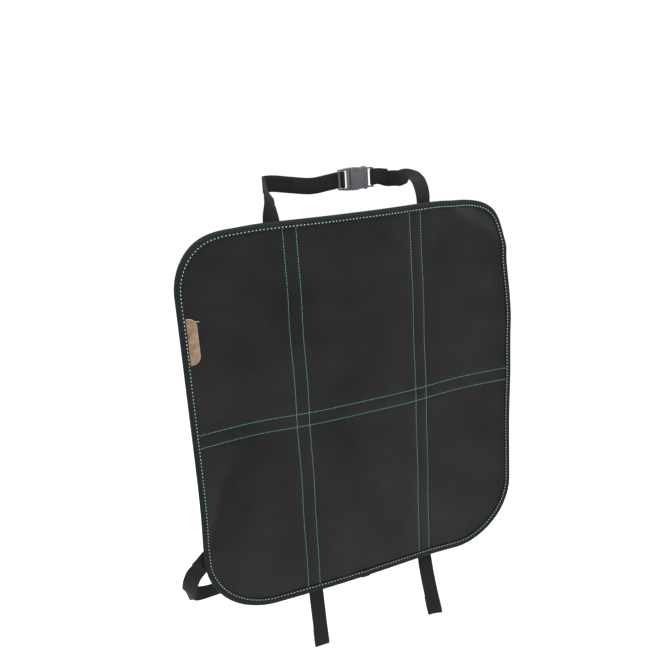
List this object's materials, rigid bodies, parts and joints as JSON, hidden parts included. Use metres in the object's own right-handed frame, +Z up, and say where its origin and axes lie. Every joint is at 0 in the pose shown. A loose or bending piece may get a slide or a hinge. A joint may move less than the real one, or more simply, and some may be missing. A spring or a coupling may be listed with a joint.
{
  "type": "car seat protector",
  "caption": "Quilted faux-leather mat worn on the back of a car seat, with webbing straps round the headrest posts and the seat's lower back, closed by side-release buckles.",
  "frame": {"origin": "midway between the two headrest posts, at the height of the strap that joins them", "axes": "+X along the mat's width, to the right as seen from the rear seat; +Y from the mat towards the front of the seat; +Z up the mat"},
  "size_m": [0.4617, 0.173, 0.6104],
  "materials": {
    "faux_leather": "matte fine-grained black",
    "foam": "matte",
    "lining_cloth": "matte",
    "binding_tape": "matte woven",
    "teal_thread": "twisted thread",
    "tan_leather": "matte",
    "webbing": "matte woven",
    "buckle_plastic": "satin moulded"
  },
  "bodies": {
    "root": {"front_cover": "faux_leather", "foam_padding": "foam", "back_lining": "lining_cloth", "edge_binding": "binding_tape", "edge_thread": "teal_thread", "quilting_thread": "teal_thread", "side_tab": "tan_leather", "top_strap_left": "webbing", "top_strap_right": "webbing", "side_strap_left": "webbing", "side_strap_right": "webbing", "bottom_strap_left": "webbing", "bottom_strap_right": "webbing", "top_buckle_plug": "buckle_plastic", "top_buckle_socket": "buckle_plastic", "lower_buckle_plug": "buckle_plastic", "lower_buckle_socket": "buckle_plastic"}
  },
  "joints": []
}
